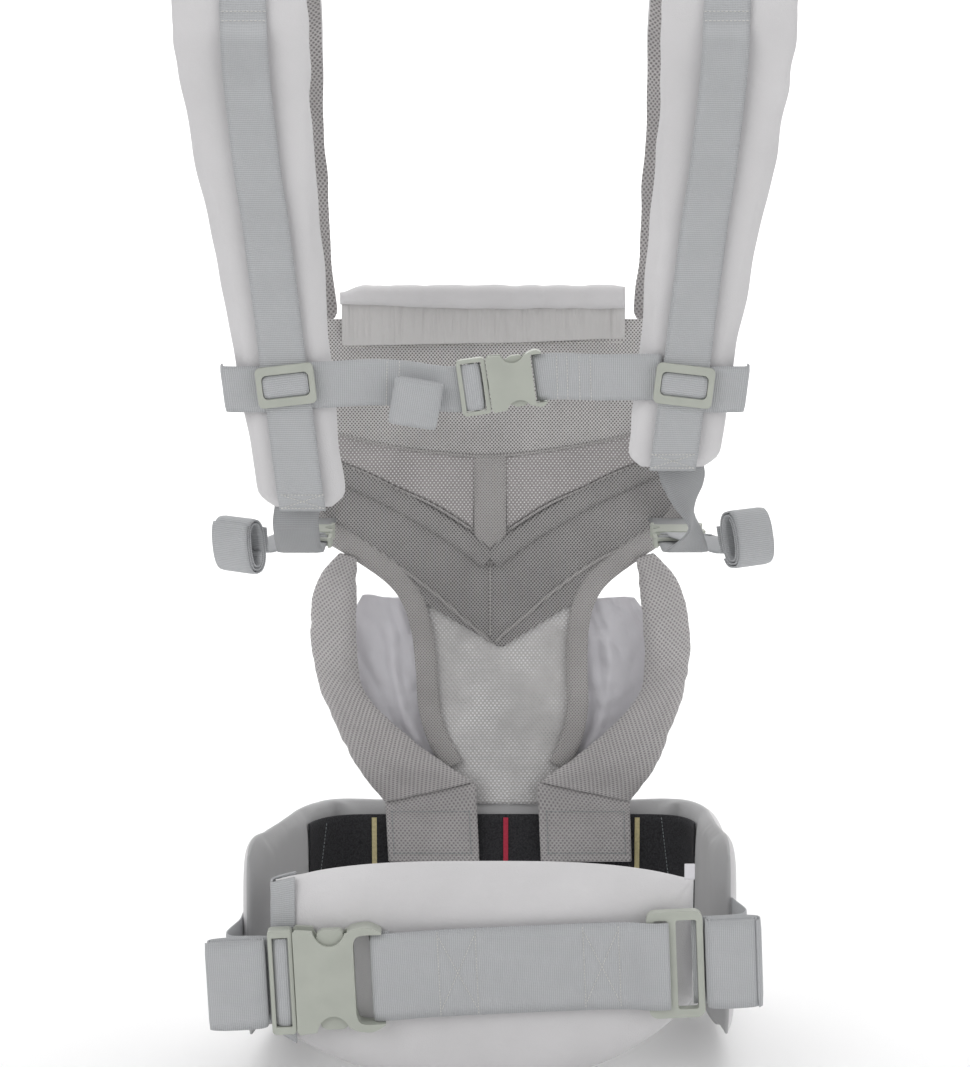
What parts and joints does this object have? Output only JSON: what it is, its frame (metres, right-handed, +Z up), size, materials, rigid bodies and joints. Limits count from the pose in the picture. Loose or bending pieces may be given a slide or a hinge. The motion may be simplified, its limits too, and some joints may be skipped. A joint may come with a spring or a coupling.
{
  "type": "soft baby carrier",
  "caption": "Soft baby carrier as worn: padded shoulder straps, chest strap, mesh panel with leg bolsters, hood roll and padded waist belt with a lumbar pad.",
  "frame": {"origin": "the wearer's waist centre, level with the middle of the waist webbing", "axes": "+Z up along the wearer's body, +Y from the wearer's back to the panel, +X to the right of someone who looks at the wearer's back"},
  "size_m": [0.3444, 0.2414, 0.6461],
  "materials": {
    "jersey": "knitted jersey, matt",
    "liner": "light jersey, matt",
    "spacer_mesh": "open spacer mesh",
    "hood_cloth": "woven, gathered",
    "webbing": "ribbed webbing",
    "buckle_plastic": "fine satin",
    "hook_tape": "hook tape, matt black",
    "red_thread": "woven tape",
    "cream_thread": "woven tape",
    "snap_metal": "satin"
  },
  "bodies": {
    "root": {"body_panel": "spacer_mesh", "centre_mark": "red_thread", "hook_strip": "hook_tape", "loop_tag": "liner", "lumbar_pad": "jersey", "lumbar_sleeve_left": "webbing", "panel_webbing_left": "webbing", "panel_webbing_right": "webbing", "seat_liner_left": "liner", "seat_liner_right": "liner", "seat_panel": "spacer_mesh", "shoulder_strap_left": "jersey", "shoulder_strap_right": "jersey", "shoulder_webbing_left": "webbing", "shoulder_webbing_right": "webbing", "side_buckle_left_socket": "buckle_plastic", "side_buckle_right_socket": "buckle_plastic", "strap_snap": "snap_metal", "v_support_roll": "spacer_mesh", "waist_adjuster": "buckle_plastic", "waist_belt": "jersey", "waist_buckle_socket": "buckle_plastic", "waist_roll_right": "webbing", "waist_webbing": "webbing", "waist_webbing_right": "webbing", "width_mark_left": "cream_thread", "width_mark_right": "cream_thread"},
    "waist_plug": {"waist_buckle_plug": "buckle_plastic", "waist_webbing_left": "webbing", "waist_roll_left": "webbing"},
    "waist_arm_a": {"waist_buckle_arm_a": "buckle_plastic"},
    "waist_arm_b": {"waist_buckle_arm_b": "buckle_plastic"},
    "chest_strap": {"chest_buckle_socket": "buckle_plastic", "chest_webbing_right": "webbing"},
    "chest_plug": {"chest_buckle_plug": "buckle_plastic", "chest_webbing_left": "webbing", "chest_roll": "webbing"},
    "chest_arm_a": {"chest_buckle_arm_a": "buckle_plastic"},
    "chest_arm_b": {"chest_buckle_arm_b": "buckle_plastic"},
    "chest_slider_left": {"chest_slider_left": "buckle_plastic", "strap_wrap_left": "webbing"},
    "chest_slider_right": {"chest_slider_right": "buckle_plastic", "strap_wrap_right": "webbing"},
    "side_plug_left": {"side_buckle_left_plug": "buckle_plastic", "side_webbing_left": "webbing", "side_roll_left": "webbing"},
    "side_arm_left_a": {"side_buckle_left_arm_a": "buckle_plastic"},
    "side_arm_left_b": {"side_buckle_left_arm_b": "buckle_plastic"},
    "side_plug_right": {"side_buckle_right_plug": "buckle_plastic", "side_webbing_right": "webbing", "side_roll_right": "webbing"},
    "side_arm_right_a": {"side_buckle_right_arm_a": "buckle_plastic"},
    "side_arm_right_b": {"side_buckle_right_arm_b": "buckle_plastic"},
    "leg_left": {"leg_bolster_left": "spacer_mesh", "leg_tab_left": "spacer_mesh"},
    "leg_right": {"leg_bolster_right": "spacer_mesh", "leg_tab_right": "spacer_mesh"},
    "hood": {"hood_roll": "jersey", "hood_band": "hood_cloth"}
  },
  "joints": [
    {"name": "waist_release", "type": "slide", "parent": "root", "child": "waist_plug", "axis": [-0.999, 0, -0.0454], "range_m": [0, 0.028]},
    {"name": "waist_squeeze_a", "type": "hinge", "parent": "waist_plug", "child": "waist_arm_a", "pos_m": [-0.10517, -0.1198, 0.01524], "axis": [0, 1, 0], "range_deg": [0, 5], "stiffness_Nm_per_rad": 0.1},
    {"name": "waist_squeeze_b", "type": "hinge", "parent": "waist_plug", "child": "waist_arm_b", "pos_m": [-0.10381, -0.1198, -0.01473], "axis": [0, -1, 0], "range_deg": [0, 5], "stiffness_Nm_per_rad": 0.1},
    {"name": "chest_height", "type": "slide", "parent": "root", "child": "chest_strap", "axis": [0, 0, 1], "range_m": [-0.022, 0.04]},
    {"name": "slider_left_height", "type": "slide", "parent": "root", "child": "chest_slider_left", "axis": [-0.1149, 0, 0.9934], "range_m": [-0.02215, 0.04027]},
    {"name": "slider_right_height", "type": "slide", "parent": "root", "child": "chest_slider_right", "axis": [0.1149, 0, 0.9934], "range_m": [-0.02215, 0.04027]},
    {"name": "chest_release", "type": "slide", "parent": "chest_strap", "child": "chest_plug", "axis": [-0.9903, 0, -0.1392], "range_m": [0, 0.016]},
    {"name": "chest_squeeze_a", "type": "hinge", "parent": "chest_plug", "child": "chest_arm_a", "pos_m": [0.00133, -0.11295, 0.33863], "axis": [0, 1, 0], "range_deg": [0, 5], "stiffness_Nm_per_rad": 0.01},
    {"name": "chest_squeeze_b", "type": "hinge", "parent": "chest_plug", "child": "chest_arm_b", "pos_m": [0.00346, -0.11295, 0.32348], "axis": [0, -1, 0], "range_deg": [0, 5], "stiffness_Nm_per_rad": 0.01},
    {"name": "side_release_left", "type": "slide", "parent": "root", "child": "side_plug_left", "axis": [0, -1, 0], "range_m": [0, 0.014]},
    {"name": "side_squeeze_left_a", "type": "hinge", "parent": "side_plug_left", "child": "side_arm_left_a", "pos_m": [-0.11065, -0.0096, 0.229], "axis": [0, 0, -1], "range_deg": [0, 5], "stiffness_Nm_per_rad": 0.01},
    {"name": "side_squeeze_left_b", "type": "hinge", "parent": "side_plug_left", "child": "side_arm_left_b", "pos_m": [-0.09535, -0.0096, 0.229], "axis": [0, 0, 1], "range_deg": [0, 5], "stiffness_Nm_per_rad": 0.01},
    {"name": "side_release_right", "type": "slide", "parent": "root", "child": "side_plug_right", "axis": [0, -1, 0], "range_m": [0, 0.014]},
    {"name": "side_squeeze_right_a", "type": "hinge", "parent": "side_plug_right", "child": "side_arm_right_a", "pos_m": [0.10435, -0.0096, 0.229], "axis": [0, 0, -1], "range_deg": [0, 5], "stiffness_Nm_per_rad": 0.01},
    {"name": "side_squeeze_right_b", "type": "hinge", "parent": "side_plug_right", "child": "side_arm_right_b", "pos_m": [0.11965, -0.0096, 0.229], "axis": [0, 0, 1], "range_deg": [0, 5], "stiffness_Nm_per_rad": 0.01},
    {"name": "leg_width_left", "type": "hinge", "parent": "root", "child": "leg_left", "pos_m": [-0.08841, 0.088, 0.19], "axis": [0, 1, 0], "range_deg": [-2, 6]},
    {"name": "leg_width_right", "type": "hinge", "parent": "root", "child": "leg_right", "pos_m": [0.10359, 0.088, 0.19], "axis": [0, -1, 0], "range_deg": [-2, 6]},
    {"name": "hood_fold", "type": "hinge", "parent": "root", "child": "hood", "pos_m": [0, 0.087, 0.3458], "axis": [1, 0, 0], "range_deg": [0, 60]}
  ],
  "couplings": [
    {"joint": "waist_squeeze_b", "follows": "waist_squeeze_a", "ratio": 1},
    {"joint": "chest_squeeze_b", "follows": "chest_squeeze_a", "ratio": 1},
    {"joint": "side_squeeze_left_b", "follows": "side_squeeze_left_a", "ratio": 1},
    {"joint": "side_squeeze_right_b", "follows": "side_squeeze_right_a", "ratio": 1},
    {"joint": "slider_left_height", "follows": "chest_height", "ratio": 1.0067},
    {"joint": "slider_right_height", "follows": "chest_height", "ratio": 1.0067}
  ]
}
